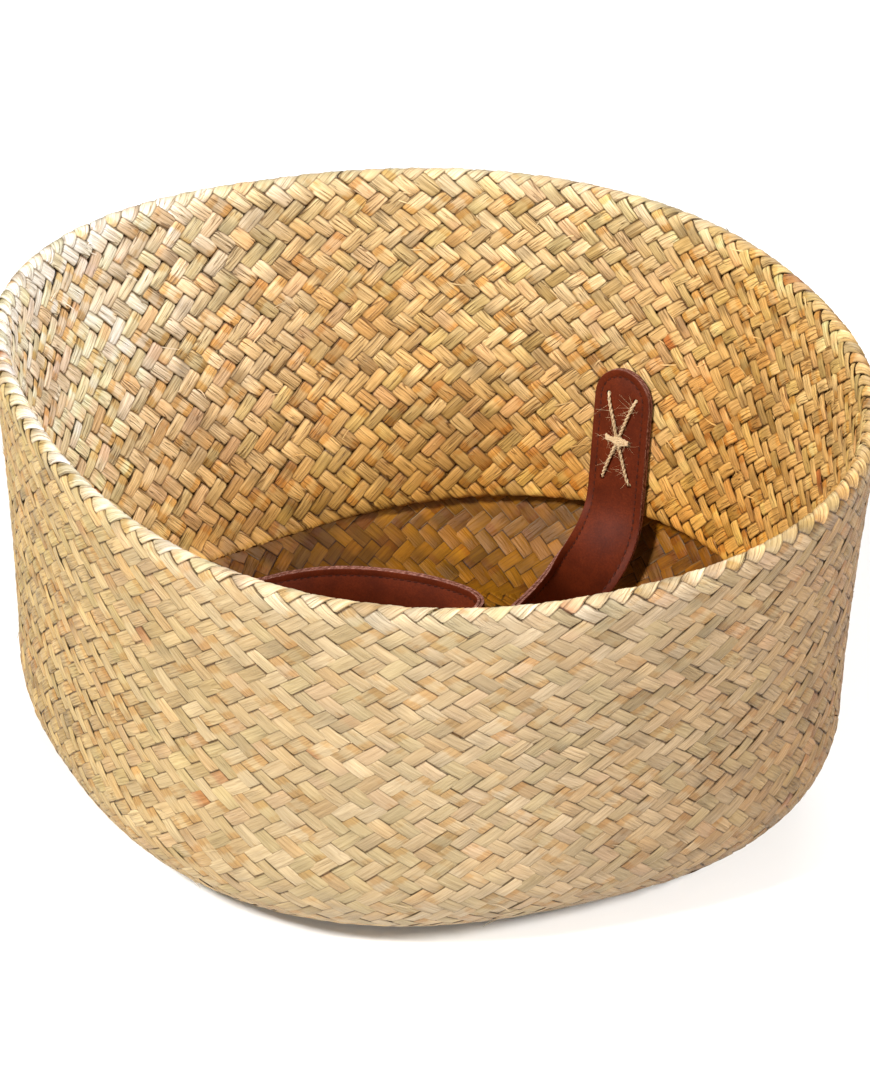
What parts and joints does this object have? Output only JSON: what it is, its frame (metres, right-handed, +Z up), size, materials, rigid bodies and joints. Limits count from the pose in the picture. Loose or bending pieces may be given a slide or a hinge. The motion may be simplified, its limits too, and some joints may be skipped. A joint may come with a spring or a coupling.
{
  "type": "seagrass basket",
  "caption": "Plaited seagrass basket with its upper half turned down inside, and two stitched leather straps that hang from it",
  "frame": {"origin": "on the ground under the middle of the basket", "axes": "+Z up, +X to the right as the picture shows it, +Y to the back"},
  "size_m": [0.3446, 0.37, 0.1798],
  "materials": {
    "seagrass": "plaited dry seagrass, matt with a faint waxy sheen",
    "leather_face": "smooth, fine-grained, semi-gloss, dark red-brown",
    "leather_lining": "smooth, satin, red-brown",
    "twine": "fuzzy jute twine"
  },
  "bodies": {
    "basket": {"woven_body": "seagrass", "back_handle_left_end_lining": "leather_lining", "back_handle_left_end_face": "leather_face", "back_handle_left_end_cross_stitch": "twine", "back_handle_right_end_lining": "leather_lining", "back_handle_right_end_face": "leather_face", "back_handle_right_end_cross_stitch": "twine", "front_handle_left_end_lining": "leather_lining", "front_handle_left_end_face": "leather_face", "front_handle_left_end_cross_stitch": "twine", "front_handle_right_end_lining": "leather_lining", "front_handle_right_end_face": "leather_face", "front_handle_right_end_cross_stitch": "twine"},
    "back_handle_loop": {"back_handle_loop_lining": "leather_lining", "back_handle_loop_face": "leather_face"},
    "front_handle_loop": {"front_handle_loop_lining": "leather_lining", "front_handle_loop_face": "leather_face"}
  },
  "joints": [
    {"name": "back_handle_lift", "type": "hinge", "parent": "basket", "child": "back_handle_loop", "pos_m": [0.1072, 0.0605, 0.0502], "axis": [-0.4848, 0.8746, 0], "range_deg": [0, 95]},
    {"name": "front_handle_lift", "type": "hinge", "parent": "basket", "child": "front_handle_loop", "pos_m": [-0.1073, -0.0606, 0.0502], "axis": [0.4848, -0.8746, 0], "range_deg": [0, 95]}
  ]
}
